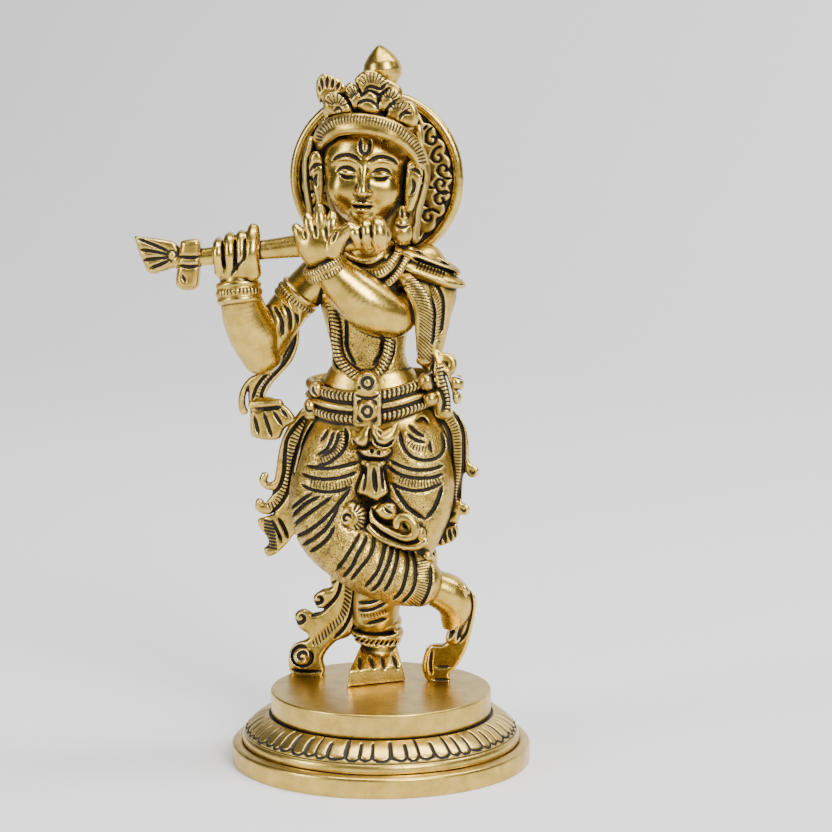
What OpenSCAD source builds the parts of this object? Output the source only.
// Brass flute-player statuette on a round three-tier base.
// Millimetres, +Z up, origin at the centre of the base's underside, the figure faces -Y.

/* [Base] */
// Diameter of the plinth, the widest tier
base_d = 76; // [60:1:120]
// Height of the plain plinth
plinth_h = 5.4; // [4:0.1:9]
// Height of the lotus tier
lotus_h = 7.2; // [5:0.1:12]
// Height of the drum that the feet stand on
drum_h = 5.7; // [4:0.1:10]
// Number of petals round the lotus tier
petals = 50; // [24:2:60]

/* [Figure] */
// Height from the drum's top to the tip of the crown's bud
figure_h = 162; // [130:1:200]
// Diameter of the tenons that fix the figure to the drum
tenon_d = 4; // [3:0.5:5]

/* [Halo] */
// Outer diameter of the halo
halo_d = 45; // [38:1:50]
// Number of curls in the halo's scroll ring
halo_curls = 14; // [10:1:18]

/* [Hidden] */
// The figure is drawn at this height and scaled to figure_h
drawn_h = 162;
base_h = plinth_h + lotus_h + drum_h;
base_r = base_d / 2;
lotus_r = base_r * 0.93;
drum_r = base_r * 0.74;
tenon_r = tenon_d / 2;
tenon_depth = 3.5;
tenon_play = 0.05;
// Where the figure's own axis stands on the drum
figure_at = [-4, 8, base_h];
// Feet of the tenons, in the figure's frame
tenon_feet = [[1, 1.5], [18.6, 3.2], [-18.5, 4]];

brass = [0.80, 0.62, 0.27];
bright_brass = [0.88, 0.71, 0.36];
dark_brass = [0.52, 0.38, 0.16];

limb_sides = 14;
body_sides = 20;
trim_sides = 8;

halo_at = [-0.5, 9, 128.2];
halo_plate = 1.6;
halo_rim_w = 2.6;
bud_at = [3.4, 1, 152.2];
bud_h = 9.8;
bud_lean = -8;
flute_from = [-46, -14, 108.7];
flute_to = [7.5, -15, 116];
flute_r = 2.5;

// ---------- drawing tools ----------

function unit(v) = v / norm(v);
function place(s) = [s[0], s[1], s[2]];
function heading(s, i) =
    unit(place(s[min(i + 1, len(s) - 1)]) - place(s[max(i - 1, 0)]));

// Two shrinking rings that round off one end of a loft
function dome(s, i, sign) =
    let (t = heading(s, i) * sign, r = min(s[i][3], s[i][4]))
    [for (a = [38, 70]) concat(place(s[i]) + t * r * sin(a), [s[i][3] * cos(a), s[i][4] * cos(a)])];

function reversed(v) = [for (i = [len(v) - 1:-1:0]) v[i]];
function domed(s) = concat(reversed(dome(s, 0, -1)), s, dome(s, len(s) - 1, 1));

function ring(s, i, side, n) =
    let (t = heading(s, i), u = unit(side - t * (side * t)), w = cross(t, u))
    [for (k = [0:n - 1]) place(s[i]) + u * s[i][3] * cos(360 * k / n) + w * s[i][4] * sin(360 * k / n)];

// A skin over elliptical rings. Each station is [x, y, z, half width along side, half width across]
module loft(stations, side = [1, 0, 0], n = limb_sides, round_ends = true) {
    s = round_ends ? domed(stations) : stations;
    last = len(s) - 1;
    walls = [for (i = [0:last - 1], k = [0:n - 1])
        let (k2 = (k + 1) % n) [i * n + k, (i + 1) * n + k, (i + 1) * n + k2, i * n + k2]];
    polyhedron(
        points = [for (i = [0:last]) each ring(s, i, side, n)],
        faces = concat(walls, [[for (k = [0:n - 1]) k]], [[for (k = [n - 1:-1:0]) last * n + k]])
    );
}

// The same radius both ways: each station is [x, y, z, r]
module limb(stations, side = [1, 0, 0], n = limb_sides) {
    loft([for (p = stations) [p[0], p[1], p[2], p[3], p[3]]], side, n);
}

// One closed skin, as cast
module casting() { resize([0, 0, 0]) children(); }

// The figure's frame on the drum
module figure() { translate(figure_at) scale(figure_h / drawn_h) children(); }

module egg(at, radii) { translate(at) scale(radii) sphere(r = 1, $fn = 16); }

// A flat curl of a scarf's edge, seen from the front
module curl(at, r, depth) {
    translate(at) rotate([90, 0, 0]) cylinder(r = r, h = depth, center = true, $fn = 14);
}

// ---------- forms that neighbours are trimmed against ----------

module hips_form() {
    loft([[0, 0, 77, 12, 8], [0, 0, 70, 15.5, 9.5], [0.5, 0, 62, 18.5, 10],
          [0.5, 0, 54, 18.5, 10], [0, 0, 48, 16, 9]], n = body_sides);
}

module torso_form() {
    loft([[-0.8, 0, 74, 10, 7.5], [-0.8, -1, 81, 9.3, 6.8], [-0.6, -1, 86, 9.6, 6.8],
          [-0.8, -1, 92, 10.5, 7.2], [-1, -0.5, 98, 12, 7.8], [-0.8, 0, 103, 13, 7.4],
          [0, 0.5, 107, 10.5, 6.2], [0.4, 0, 110, 6, 5]], n = body_sides);
}

module head_form() {
    rotate_about([-1, -1, 131], [0, 3, 0]) egg([-1, -1, 131.4], [10.6, 10, 13]);
}

module rotate_about(at, turn) { translate(at) rotate(turn) translate(-at) children(); }

module standing_leg_form() {
    limb([[10, -1, 60, 10], [12, -3, 50, 9.8], [10, -3, 40, 8.4], [5, -1.5, 30, 7],
          [1.6, 0.5, 22, 6.2], [0.7, 2, 17, 5.8]]);
}

module crossed_leg_form() {
    limb([[-7.5, -3, 58, 10.6], [-9.5, -6, 48, 10.4], [-7.5, -8, 40, 9.5], [1, -10, 33, 8.2],
          [8, -10, 29.8, 7.4], [13.5, -9, 28.2, 6.6]]);
}

module crossed_shin_form() {
    limb([[12, -9.4, 28.6, 4.6], [18, -6.6, 26, 4.7], [24, -3.4, 22.6, 4.5]]);
}

module standing_foot_form() {
    hull() {
        translate([0.7, 4.5, 12.5]) sphere(r = 4.4, $fn = 16);
        translate([-2, 7.6, 2.6]) cylinder(r1 = 3.8, r2 = 3.2, h = 4, center = true, $fn = 16);
        translate([-5, -4.5, 0.6]) cylinder(r = 1.5, h = 3.4, $fn = 10);
        translate([7.6, 0.6, 0.6]) cylinder(r = 1.5, h = 3.2, $fn = 10);
    }
}

module belt_form() {
    translate([0.3, 0, 74.4]) rotate([0, -6, 0]) scale([1, 0.7, 1])
        rotate_extrude($fn = 32)
            polygon([[10, -5], [16.4, -5], [18, -3.6], [17.2, -1.6], [17.8, 0],
                     [17.2, 1.6], [17.6, 3.4], [16, 4.8], [10, 4.8]]);
}

module right_upper_arm_form() {
    limb([[-12.5, 0, 104.5, 5.4], [-18, -2.4, 99, 5.2], [-22.6, -5, 92.5, 5], [-26.4, -7.6, 85, 5]]);
}

module right_forearm_form() {
    limb([[-27, -8, 85, 5.8], [-29.2, -10, 91.5, 6.6], [-30.8, -12, 98.5, 5.2], [-30.7, -13, 103.5, 4.4]]);
}

module left_upper_arm_form() {
    limb([[13, 1, 103.5, 6], [13, -2, 98.5, 6.2], [10.5, -6, 95.5, 6.4]], side = [0, 1, 0]);
}

module left_forearm_form() {
    limb([[9, -8, 95.6, 6.9], [0.6, -11, 99.8, 7.2], [-4.6, -13, 104.5, 5.2], [-7.2, -14.3, 107.4, 4.3]],
         side = [0, 1, 0]);
}

module flute_form() {
    along = flute_to - flute_from;
    translate(flute_from) rotate([0, acos(along[2] / norm(along)), atan2(along[1], along[0])])
        cylinder(r = flute_r, h = norm(along), $fn = 24);
}

module crown_cap_form() {
    loft([[0, -2, 140, 12.2, 9.6], [0.4, -2, 146, 10.4, 8.4], [1.4, -1, 151, 6.6, 6]], n = body_sides);
}

// A round pin from a foot into the drum, in the figure's frame
module tenon(i) {
    translate([tenon_feet[i][0], tenon_feet[i][1], -tenon_depth])
        cylinder(r = tenon_r - tenon_play, h = tenon_depth + 1.5, $fn = 24);
}

// ---------- base ----------

module base_plinth() {
    lip = 0.8;
    groove = lotus_r * 0.96;
    color(brass) rotate_extrude($fn = 120)
        polygon(concat([[0, 0], [base_r - 0.3, 0], [base_r, 0.4]],
            [for (a = [0:15:90]) [base_r - lip + lip * cos(a), plinth_h - 0.5 - lip + lip * sin(a)]],
            [[groove + 0.4, plinth_h - 0.4], [groove, plinth_h], [0, plinth_h]]));
}

module base_lotus() {
    band_h = lotus_h * 0.36;
    slope_in = drum_r + 0.5;
    color(brass) translate([0, 0, plinth_h]) {
        rotate_extrude($fn = 120)
            polygon(concat([[0, 0], [lotus_r * 0.95, 0]],
                [for (a = [-75:25:75]) [lotus_r - band_h / 2 + band_h / 2 * cos(a), band_h / 2 + band_h / 2 * sin(a)]],
                [[lotus_r - 1.2, band_h + 0.5], [slope_in, lotus_h - 0.6], [drum_r - 0.6, lotus_h - 0.6],
                 [drum_r - 0.6, lotus_h], [0, lotus_h]]));
        for (i = [0:petals - 1]) rotate([0, 0, 360 * i / petals]) petal(slope_in, lotus_r - 1.4, band_h);
    }
}

// One raised petal lying on the lotus tier's slope, round at its lower end
module petal(inner, outer, low) {
    r = PI * outer / petals * 0.86;
    fall = lotus_h - 0.6 - low;
    run = outer - inner;
    sink = r * 0.72;
    translate([outer - sink * fall / norm([fall, run]) - r * 0.4, 0, low + 0.9 - sink * run / norm([fall, run])])
        rotate([0, -90 + atan2(fall, run), 0]) cylinder(r = r, h = run * 0.9, $fn = 24);
}

module base_drum() {
    edge = 0.5;
    color(brass) translate([0, 0, plinth_h + lotus_h]) difference() {
        rotate_extrude($fn = 120)
            polygon([[0, 0], [drum_r - 0.6, 0], [drum_r, 0.5], [drum_r, drum_h - edge],
                     [drum_r - edge, drum_h], [0, drum_h]]);
        for (p = tenon_feet)
            translate([figure_at[0] + p[0] * figure_h / drawn_h, figure_at[1] + p[1] * figure_h / drawn_h,
                       drum_h - tenon_depth * figure_h / drawn_h - 0.1])
                cylinder(r = tenon_r * figure_h / drawn_h, h = tenon_depth * 2, $fn = 32);
    }
}

// ---------- legs ----------

module standing_foot() {
    color(brass) figure() casting() union() {
        intersection() {
            standing_foot_form();
            translate([-20, -20, 0]) cube([40, 40, 13.2]);
        }
        tenon(0);
    }
}

module standing_anklet() {
    color(bright_brass) figure() casting() difference() {
        translate([0.7, 4.2, 13.2]) cylinder(r1 = 5.6, r2 = 5.3, h = 3.2, $fn = 24);
        standing_leg_form();
    }
}

module standing_leg() {
    color(brass) figure() casting() difference() {
        standing_leg_form();
        hips_form();
        crossed_leg_form();
        translate([-20, -20, 0]) cube([40, 40, 13.2]);
    }
}

module crossed_foot() {
    color(brass) figure() casting() {
        intersection() {
            loft([[26, -2.2, 21, 3.2, 2.6], [24.4, -1, 16, 3.4, 3], [22, 0.8, 10, 3, 3.2],
                  [19.6, 2.6, 4, 2.7, 3.4], [18.6, 3.2, 0.5, 2.6, 3.4]], side = [1, -0.4, 0]);
            translate([5, -20, 0]) cube([40, 40, 40]);
        }
        tenon(1);
    }
}

module crossed_anklet() {
    color(bright_brass) figure() casting() difference() {
        loft([[21.4, -4.8, 24.2, 4.6, 5.2], [22.8, -3.8, 20, 4.6, 4.8], [21.6, -3, 14.6, 3.4, 3.8]],
             side = [1, -0.4, 0]);
        crossed_shin_form();
        loft([[26, -2.2, 21, 3.2, 2.6], [24.4, -1, 16, 3.4, 3], [22, 0.8, 10, 3, 3.2],
              [19.6, 2.6, 4, 2.7, 3.4]], side = [1, -0.4, 0]);
    }
}

module crossed_shin() {
    color(brass) figure() casting() difference() {
        crossed_shin_form();
        crossed_leg_form();
        loft([[26, -2.2, 21, 3.2, 2.6], [24.4, -1, 16, 3.4, 3], [22, 0.8, 10, 3, 3.2]], side = [1, -0.4, 0]);
    }
}

module crossed_leg() {
    color(brass) figure() casting() difference() {
        crossed_leg_form();
        hips_form();
    }
}

module lower_scroll() {
    color(brass) figure() casting() {
        difference() {
            union() {
                loft([[-3, 2.4, 30, 4, 2.6], [-7.5, 3, 21, 4.4, 2.4], [-12, 3.6, 13.5, 4.2, 2.4],
                      [-17, 4, 7, 3.4, 2.8]], side = [1, 0, 0.6]);
                curl([-18.5, 4, 4.6], 4.4, 5.6);
                curl([-14.2, 2.6, 21], 2.6, 3.2);
                curl([-19.2, 3, 15.2], 2.8, 3.4);
            }
            standing_leg_form();
            translate([-40, -20, -10]) cube([60, 40, 10]);
        }
        tenon(2);
    }
}

// ---------- trunk and dress ----------

module hips() { color(brass) figure() casting() hips_form(); }

module right_sash() {
    color(bright_brass) figure() casting() difference() {
        union() {
            loft([[-15, 0, 68.5, 3, 2.2], [-20.5, 0, 62.5, 3.4, 2], [-23, 0, 56, 3.6, 1.9],
                  [-24, 0, 49.5, 3.6, 1.9], [-24.6, 0, 43.5, 3.4, 1.9]]);
            loft([[-25.2, 0, 42.4, 2.9, 1.5], [-26, 0, 36.5, 3.7, 1.6], [-25.2, 0, 32.6, 3.4, 1.4]]);
            curl([-28.2, 0.1, 51], 2.2, 2.6);
            curl([-28.4, 0.1, 44], 2.2, 2.6);
        }
        hips_form();
        crossed_leg_form();
    }
}

module left_sash() {
    color(bright_brass) figure() casting() difference() {
        union() {
            loft([[16, 1, 70, 3, 2.2], [20.5, 1.4, 62, 3.2, 2], [21.8, 1.5, 54, 3.2, 1.9],
                  [21.6, 1.5, 46, 3.2, 1.9], [19.6, 1.2, 40.5, 3, 1.9]]);
            loft([[18, 1, 39.5, 4, 1.9], [17.2, 0.6, 35.5, 4.4, 1.8]]);
            curl([26.2, 1.6, 55.4], 2.1, 3);
            curl([25, 1.6, 44.2], 2.1, 3);
        }
        hips_form();
        standing_leg_form();
    }
}

module girdle_pendant() {
    color(bright_brass) figure() casting() difference() {
        union() {
            loft([[2.6, -10.4, 60.4, 1.6, 1.6], [-0.4, -10.8, 64, 1.9, 1.7], [-2.8, -11, 68.2, 0.9, 1]], n = 12);
            loft([[3, -10.6, 60.6, 1.8, 1.6], [2.6, -11.4, 65, 2.2, 1.8], [2.6, -11.6, 70, 0.9, 1]], n = 12);
            loft([[3.6, -10.4, 60.4, 1.6, 1.6], [6.4, -10.8, 63.8, 1.9, 1.7], [8.8, -11, 67.4, 0.9, 1]], n = 12);
            egg([3.2, -10.6, 61], [4.6, 2.4, 2.7]);
        }
        hips_form();
        crossed_leg_form();
    }
}

module front_tassel() {
    color(brass) figure() casting() difference() {
        loft([[3, -11, 58.4, 1.6, 1.4], [2.8, -12, 54, 2.6, 1.8], [2.6, -12.6, 50, 3.4, 1.9]], n = 12);
        hips_form();
        crossed_leg_form();
    }
}

module lap_swag() {
    color(bright_brass) figure() casting() difference() {
        union() {
            curl([-2.2, -13.6, 44.4], 3.8, 5);
            curl([6.2, -12.4, 47.2], 2.7, 5);
            curl([11, -12, 43.4], 2.8, 5);
            loft([[3, -13.4, 44.5, 1.4, 1.6], [9, -13.6, 39.6, 1.7, 2], [15, -11, 36.6, 1.7, 2.2],
                  [17.2, -7, 32.6, 1.3, 1.6]], side = [0, 0, 1], n = 10);
        }
        hips_form();
        crossed_leg_form();
        standing_leg_form();
    }
}

module belt() {
    color(bright_brass) figure() casting() difference() {
        belt_form();
        hips_form();
        torso_form();
    }
}

module belt_buckle() {
    color(bright_brass) figure() casting() difference() {
        union() {
            translate([1.2, -11, 78.8]) rotate([90, 0, 0]) cylinder(r = 3.5, h = 3.4, $fn = 24);
            translate([-2.4, -13.6, 67.4]) cube([7.6, 3.4, 9]);
            translate([1.5, -12, 71.6]) rotate([90, 0, 0]) cylinder(r = 2.7, h = 2.4, $fn = 20);
        }
        belt_form();
        hips_form();
        torso_form();
    }
}

module belt_knobs() {
    color(brass) figure() casting() difference() {
        for (k = [[-15.2, -6, 76.4, 3], [-17.2, -4, 71.2, 2.9]]) egg([k[0], k[1], k[2]], [k[3], k[3], k[3]]);
        belt_form();
        hips_form();
        torso_form();
    }
}

module belt_bow() {
    color(brass) figure() casting() difference() {
        union() {
            egg([15.4, -6, 79.2], [2.9, 2.6, 2.9]);
            egg([16.6, -5, 73.6], [2.6, 2.6, 2.6]);
            loft([[17.4, -3, 70.6, 2.2, 2], [19, -2, 77, 3, 2.4], [17, -1, 83.4, 2.6, 2]]);
        }
        belt_form();
        hips_form();
    }
}

module torso() {
    color(brass) figure() casting() difference() {
        torso_form();
        hips_form();
    }
}

module garland() {
    color(bright_brass) figure() casting() difference() {
        limb([[-10.6, -5.6, 99, 1.5], [-9.8, -6.6, 92, 1.6], [-7.8, -7.6, 85.4, 1.7], [-4, -8.2, 81.4, 1.7],
              [0, -8.4, 80.2, 1.7], [3.6, -8, 82, 1.7], [6.4, -7, 87, 1.6], [7.8, -6.2, 93, 1.5]],
             side = [0, 1, 0.2], n = trim_sides);
        torso_form();
        belt_form();
        hips_form();
    }
}

module collar() {
    color(bright_brass) figure() casting() difference() {
        loft([[-7.4, -1, 110.5, 1.6, 1.8], [-5.6, -5.4, 107.6, 1.8, 2], [0, -7.6, 105.4, 2, 2.4],
              [5.6, -6, 107.4, 1.8, 2], [8, -1.6, 111, 1.6, 1.8]], side = [0, 1, 0], n = 12);
        torso_form();
        left_forearm_form();
    }
}

module neck() {
    color(brass) figure() casting() difference() {
        limb([[0.2, -0.4, 109, 4.4], [-0.2, -1, 114, 4], [-0.8, -1.4, 120, 4.2]]);
        torso_form();
        head_form();
    }
}

// ---------- arms ----------

module right_upper_arm() {
    color(brass) figure() casting() difference() {
        right_upper_arm_form();
        torso_form();
    }
}

module right_armlet() {
    color(bright_brass) figure() casting() difference() {
        rotate_about([-18.6, -2.8, 98.4], [0, 40, 0])
            translate([-18.6, -2.8, 95.6]) cylinder(r = 6, h = 5.6, $fn = 24);
        right_upper_arm_form();
        torso_form();
    }
}

module right_forearm() {
    color(brass) figure() casting() difference() {
        right_forearm_form();
        right_upper_arm_form();
    }
}

module right_cuff() {
    color(bright_brass) figure() casting() difference() {
        translate([-30.8, -12.5, 99.4]) rotate([-10, 0, 0]) cylinder(r1 = 5.9, r2 = 5.4, h = 4.2, $fn = 24);
        right_forearm_form();
    }
}

module right_hand() {
    color(brass) figure() casting() difference() {
        union() {
            loft([[-30.6, -13.4, 103.2, 4.4, 3.4], [-30.6, -14, 108, 5.2, 4], [-30.4, -14, 113.4, 4.8, 3.8]]);
            limb([[-27.8, -17.4, 106.6, 1.9], [-26.6, -17.6, 111, 1.8], [-26.4, -16, 115.2, 1.6]], n = trim_sides);
        }
        flute_form();
        right_forearm_form();
        translate([-30.8, -12.5, 99.4]) rotate([-10, 0, 0]) cylinder(r1 = 5.9, r2 = 5.4, h = 4.2, $fn = 24);
    }
}

module left_upper_arm() {
    color(brass) figure() casting() difference() {
        left_upper_arm_form();
        left_forearm_form();
        torso_form();
    }
}

module left_forearm() {
    color(brass) figure() casting() difference() {
        left_forearm_form();
        torso_form();
    }
}

// The wrist's direction, from the elbow's end of the forearm to the hand
wrist_at = [-7.6, -14.4, 107.6];
wrist_turn = [0, -46, 22];

module bangle_form() {
    translate(wrist_at) rotate(wrist_turn) translate([0, 0, -1.5]) cylinder(r = 6.2, h = 3, $fn = 24);
}

module left_bangle() {
    color(bright_brass) figure() casting() difference() {
        bangle_form();
        left_forearm_form();
        right_upper_arm_form();
        torso_form();
    }
}

module left_hand() {
    color(brass) figure() casting() difference() {
        union() {
            loft([[-8.4, -15.4, 109, 4.6, 2.6], [-10, -16.4, 113.6, 5.6, 2.8], [-10.4, -16.6, 116.6, 5, 2.4]]);
            for (tip = [[-15, -15.4, 118.4], [-12.2, -16.2, 121.4], [-9, -16.6, 123.2], [-6.2, -16.8, 121.4]])
                limb([[(tip[0] - 10.4) / 2, -16.4, 114.8, 1.7], concat(tip, [1.2])], n = trim_sides);
            limb([[-7.4, -17.2, 112.6, 2], [-2.6, -18, 117, 1.6]], n = trim_sides);
            for (x = [-0.8, 2.2, 5.2])
                limb([[x, -17.6, 113.6, 1.7], [x, -18, 116.4, 1.8], [x, -15.6, 119, 1.6]], n = trim_sides);
        }
        flute_form();
        bangle_form();
        left_forearm_form();
        head_form();
    }
}

module flute() {
    color(bright_brass) figure() casting() difference() {
        flute_form();
        head_form();
    }
}

// ---------- flute's trimmings ----------

module flute_tassel() {
    color(bright_brass) figure() casting() difference() {
        hull() {
            egg([-47.4, -14, 109.8], [2, 2.2, 2]);
            egg([-56.6, -14, 113.4], [0.8, 2, 0.9]);
            egg([-52.6, -14, 105.8], [0.8, 2, 0.9]);
        }
        flute_form();
    }
}

module flute_ribbon() {
    color(bright_brass) figure() casting() difference() {
        hull() {
            translate([-42.7, -14, 109.6]) rotate([0, 90, 0]) cylinder(r = 3.5, h = 5, center = true, $fn = 20);
            translate([-42.7, -14.4, 103.4]) rotate([0, 90, 0]) cylinder(r = 2, h = 5.6, center = true, $fn = 16);
        }
        flute_form();
    }
}

// ---------- scarves ----------

module shawl() {
    color(brass) figure() casting() difference() {
        loft([[13.4, 2, 107, 5.6, 5.6], [16.4, 2, 101.6, 6.2, 6.4], [16, 1, 95.6, 5, 5.4],
              [15.6, -0.6, 88, 3.4, 3.8], [15.4, -3, 84, 2.6, 2.8]], n = 16);
        torso_form();
        left_upper_arm_form();
        left_forearm_form();
        loft([[17.4, -3, 70.6, 2.2, 2], [19, -2, 77, 3, 2.4], [17, -1, 83.4, 2.6, 2]]);
    }
}

module shoulder_flaps() {
    color(bright_brass) figure() casting() difference() {
        union() {
            hull() {
                egg([10.6, -2.4, 110], [2, 4, 1.6]);
                egg([21.6, 1.4, 105.6], [1.4, 3.6, 1.4]);
            }
            hull() {
                egg([10.6, 0, 112], [2.4, 4.4, 1]);
                egg([19.6, 2, 108.6], [1.2, 3.4, 1]);
            }
        }
        torso_form();
        left_upper_arm_form();
        loft([[13.4, 2, 107, 5.6, 5.6], [16.4, 2, 101.6, 6.2, 6.4], [16, 1, 95.6, 5, 5.4]], n = 16);
    }
}

module arm_scarf() {
    color(brass) figure() casting() difference() {
        union() {
            loft([[-19.6, -1.6, 94, 2.4, 2], [-19, -2, 86, 2.4, 1.8], [-21.4, -2.5, 80, 2.3, 1.8],
                  [-24.8, -3, 75.6, 2.2, 1.8], [-26.4, -3.6, 72, 2.2, 1.8]], n = 12);
            loft([[-24.6, -5, 80, 1.6, 1.6], [-28.6, -4.4, 77, 1.9, 1.6], [-29.2, -4, 72, 1.9, 1.6]], n = 12);
        }
        right_forearm_form();
        right_upper_arm_form();
        torso_form();
    }
}

module scarf_tassel() {
    color(brass) figure() casting() difference() {
        hull() {
            egg([-27.6, -4, 71.2], [3.4, 1.8, 1.2]);
            egg([-29.4, -4, 64], [1.2, 1.8, 1.4]);
            egg([-24.2, -3.6, 63.2], [1.2, 1.8, 1.2]);
            egg([-20.4, -2, 66.8], [1, 1.6, 1]);
        }
        loft([[-19.6, -1.6, 94, 2.4, 2], [-19, -2, 86, 2.4, 1.8], [-21.4, -2.5, 80, 2.3, 1.8],
              [-24.8, -3, 75.6, 2.2, 1.8], [-26.4, -3.6, 72, 2.2, 1.8]], n = 12);
        loft([[-24.6, -5, 80, 1.6, 1.6], [-28.6, -4.4, 77, 1.9, 1.6], [-29.2, -4, 72, 1.9, 1.6]], n = 12);
        loft([[-15, 0, 68.5, 3, 2.2], [-20.5, 0, 62.5, 3.4, 2], [-23, 0, 56, 3.6, 1.9]]);
    }
}

// ---------- head ----------

module head() { color(brass) figure() casting() head_form(); }

module ears() {
    color(brass) figure() casting() difference() {
        union() {
            loft([[-11.8, -2, 135, 1.6, 1.8], [-12.6, -2.4, 129, 1.8, 2.2], [-12.4, -2.6, 122.6, 1.3, 1.6]]);
            loft([[10, -1.6, 134, 1.6, 1.8], [11.2, -2, 128, 2, 2.2], [10.4, -2.4, 122.4, 1.3, 1.6]]);
        }
        head_form();
    }
}

module earrings() {
    color(bright_brass) figure() casting() difference() {
        for (x = [-12.4, 9.4]) translate([x, -3.4, 113.2])
            rotate_extrude($fn = 20)
                polygon([[0, 0], [1.6, 0.3], [2.6, 1.9], [2.5, 3.6], [1.6, 5.4], [0.9, 7.4], [0.8, 9], [0, 9.2]]);
        head_form();
        loft([[-11.8, -2, 135, 1.6, 1.8], [-12.6, -2.4, 129, 1.8, 2.2], [-12.4, -2.6, 122.6, 1.3, 1.6]]);
        loft([[10, -1.6, 134, 1.6, 1.8], [11.2, -2, 128, 2, 2.2], [10.4, -2.4, 122.4, 1.3, 1.6]]);
    }
}

module hair() {
    color(dark_brass) figure() casting() difference() {
        union() {
            loft([[0, 1.2, 141, 10.6, 6], [0, 1.6, 133, 12, 6], [0, 1.6, 124, 11.6, 5.6],
                  [0.4, 1.6, 116, 8.4, 5]], n = body_sides);
            loft([[12.4, 0.6, 133, 1.6, 2.4], [13.4, 0.8, 124, 1.8, 2.4], [12.4, 0.8, 114.6, 1.4, 2]], n = 12);
            loft([[-13.6, 0.6, 134, 1.6, 2.4], [-14.6, 0.8, 124, 1.6, 2.4], [-14, 0.8, 116, 1.4, 2]], n = 12);
        }
        head_form();
        torso_form();
        limb([[0.2, -0.4, 109, 4.4], [-0.2, -1, 114, 4], [-0.8, -1.4, 120, 4.2]]);
        loft([[-11.8, -2, 135, 1.6, 1.8], [-12.6, -2.4, 129, 1.8, 2.2], [-12.4, -2.6, 122.6, 1.3, 1.6]]);
        loft([[10, -1.6, 134, 1.6, 1.8], [11.2, -2, 128, 2, 2.2], [10.4, -2.4, 122.4, 1.3, 1.6]]);
        crown_cap_form();
        translate([-40, 8.2, 90]) cube([80, 20, 80]);
    }
}

module crown_band() {
    color(bright_brass) figure() casting() difference() {
        loft([[-13.6, -2, 134.4, 1.9, 1.6], [-12.4, -6, 138.6, 1.9, 1.7], [-8.4, -10.2, 142, 1.9, 1.8],
              [-0.6, -12, 143.2, 1.9, 1.8], [7.4, -10.2, 141.4, 1.9, 1.8], [11.8, -6.4, 138, 1.9, 1.7],
              [13.4, -2, 134, 1.9, 1.6]], side = [0, 0, 1], n = 12);
        head_form();
        crown_cap_form();
    }
}

module crown_cap() {
    color(brass) figure() casting() difference() {
        crown_cap_form();
        head_form();
    }
}

module crown_plumes() {
    color(bright_brass) figure() casting() difference() {
        for (p = [[0.6, -8, 145, -4, 10], [-5, -7.6, 144.6, -26, 8.4], [6.6, -7, 144.6, 24, 8.4],
                  [-8.6, -6.6, 142.6, -44, 7.6], [10.4, -5, 142, 44, 7]])
            translate([p[0], p[1], p[2]]) rotate([-8, p[3], 0]) scale([0.42, 0.28, 1])
                translate([0, 0, p[4] / 2]) sphere(r = p[4] * 0.62, $fn = 14);
        crown_cap_form();
        head_form();
        loft([[-13.6, -2, 134.4, 1.9, 1.6], [-12.4, -6, 138.6, 1.9, 1.7], [-8.4, -10.2, 142, 1.9, 1.8],
              [-0.6, -12, 143.2, 1.9, 1.8], [7.4, -10.2, 141.4, 1.9, 1.8], [11.8, -6.4, 138, 1.9, 1.7],
              [13.4, -2, 134, 1.9, 1.6]], side = [0, 0, 1], n = 12);
    }
}

module peacock_feather() {
    color(bright_brass) figure() casting() difference() {
        hull() {
            egg([-9, -5.6, 144], [1.6, 1.2, 1.6]);
            egg([-12.6, -5, 151.6], [2.4, 1.1, 2.6]);
            egg([-9, -5, 151.4], [2, 1.1, 2]);
        }
        crown_cap_form();
        head_form();
    }
}

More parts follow.
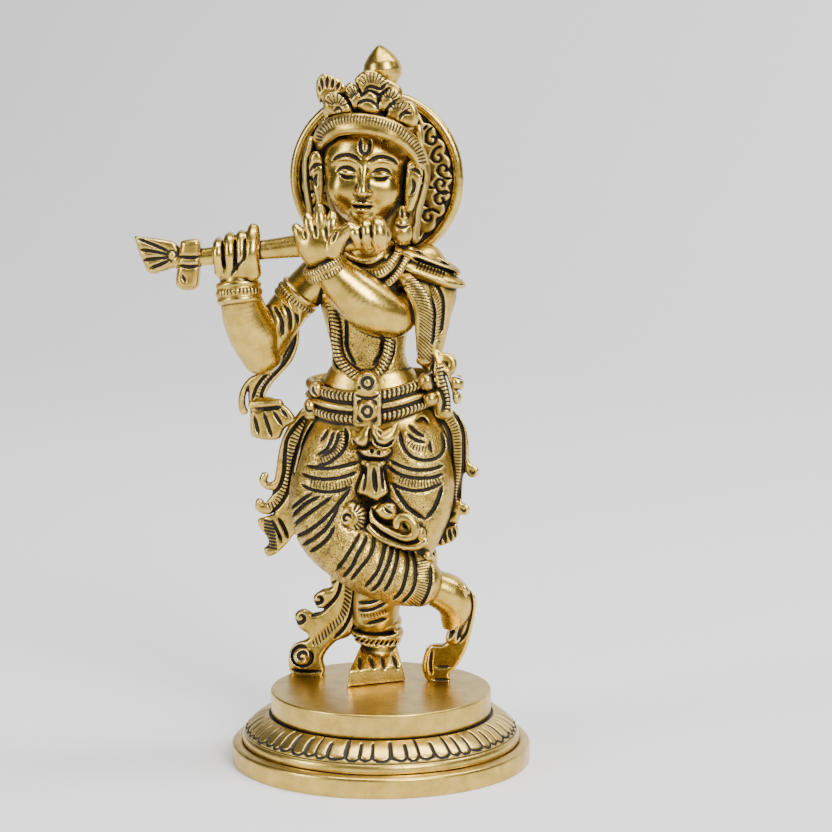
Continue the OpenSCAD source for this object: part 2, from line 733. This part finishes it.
module crown_bud() {
    color(bright_brass) figure() translate(bud_at) rotate([0, bud_lean, 0]) rotate_extrude($fn = 48)
        polygon([[0, 0], [1.8, 0], [2.9, 0.7], [4.3, 2.6], [4.8, 4.6], [4.3, 6.4], [3.1, 8.2], [1.6, 9.4], [0, bud_h]]);
}

// ---------- halo ----------

module halo_axis() { figure() translate(halo_at) rotate([90, 0, 0]) children(); }

module halo_disc() {
    color(dark_brass) halo_axis() translate([0, 0, -halo_plate / 2])
        cylinder(r = halo_d / 2 - halo_rim_w, h = halo_plate, $fn = 96);
}

module halo_rim() {
    half = 1.7;
    inner = halo_d / 2 - halo_rim_w;
    color(bright_brass) halo_axis() rotate_extrude($fn = 96)
        polygon([[inner, -half], [inner + 1.8, -half], [halo_d / 2, -0.8], [halo_d / 2, 0.8],
                 [inner + 1.8, half], [inner, half]]);
}

module halo_scrolls() {
    radius = halo_d / 2 - halo_rim_w - 3.2;
    color(brass) halo_axis() translate([0, 0, halo_plate / 2])
        for (i = [0:halo_curls - 1]) rotate([0, 0, 360 * i / halo_curls])
            translate([radius, 0, 0]) cylinder(r = 2.4, h = 1.2, $fn = 20);
}

module halo_stud() {
    color(dark_brass) halo_axis() translate([0, 0, halo_plate / 2]) cylinder(r = 3, h = 0.6, $fn = 32);
}

base_plinth();
base_lotus();
base_drum();
standing_foot();
standing_anklet();
standing_leg();
crossed_foot();
crossed_anklet();
crossed_shin();
crossed_leg();
lower_scroll();
hips();
right_sash();
left_sash();
girdle_pendant();
front_tassel();
lap_swag();
belt();
belt_buckle();
belt_knobs();
belt_bow();
torso();
garland();
collar();
neck();
right_upper_arm();
right_armlet();
right_forearm();
right_cuff();
right_hand();
left_upper_arm();
left_forearm();
left_bangle();
left_hand();
flute();
flute_tassel();
flute_ribbon();
shawl();
shoulder_flaps();
arm_scarf();
scarf_tassel();
head();
ears();
earrings();
hair();
crown_band();
crown_cap();
crown_plumes();
peacock_feather();
crown_bud();
halo_disc();
halo_rim();
halo_scrolls();
halo_stud();
